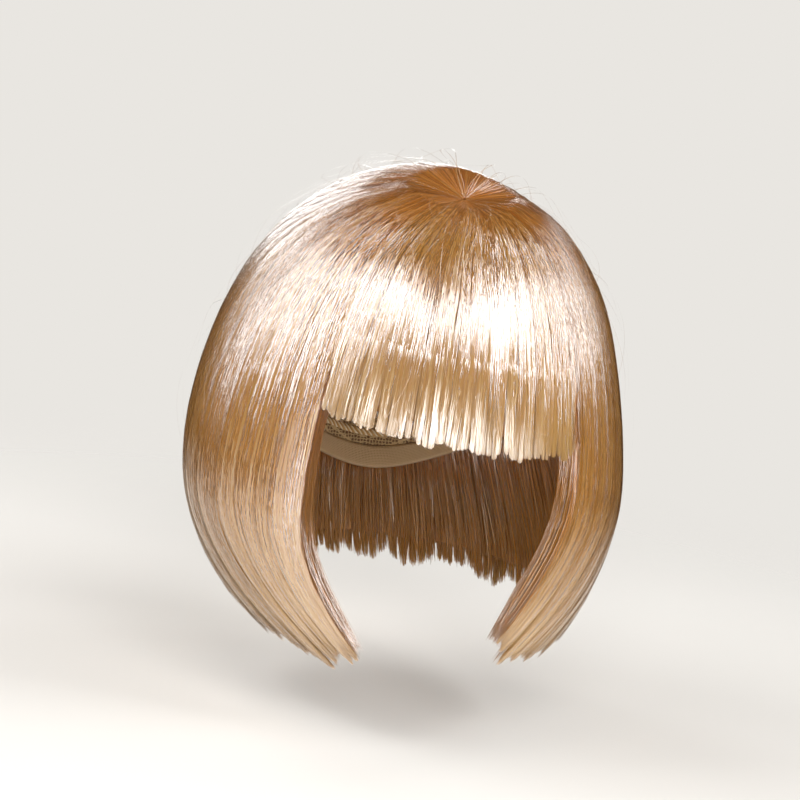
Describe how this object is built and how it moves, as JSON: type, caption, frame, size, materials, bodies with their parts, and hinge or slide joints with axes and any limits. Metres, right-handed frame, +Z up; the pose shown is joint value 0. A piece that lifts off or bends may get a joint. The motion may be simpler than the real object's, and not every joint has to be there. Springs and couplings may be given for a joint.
{
  "type": "bob wig",
  "caption": "Straight chin-length bob wig with a full fringe, fibres fanning from a whorl and tips curling in, on a hollow net cap.",
  "frame": {"origin": "top of the inside of the cap, where it rests on the crown of the head; the wig hangs down from it", "axes": "+Z up along the head that it is worn on, -Y towards the wig's open front, +X towards its left side as worn"},
  "size_m": [0.2339, 0.2411, 0.2521],
  "materials": {
    "fibre": "glossy straight synthetic fibre",
    "cap_net": "matt stretch net",
    "elastic": "matt woven elastic",
    "skin_patch": "satin fine mesh"
  },
  "bodies": {
    "root": {"cap": "cap_net", "cap_band": "elastic", "crown_patch": "skin_patch", "fringe": "fibre", "side_hair_left": "fibre", "side_hair_right": "fibre", "back_hair": "fibre"}
  },
  "joints": []
}
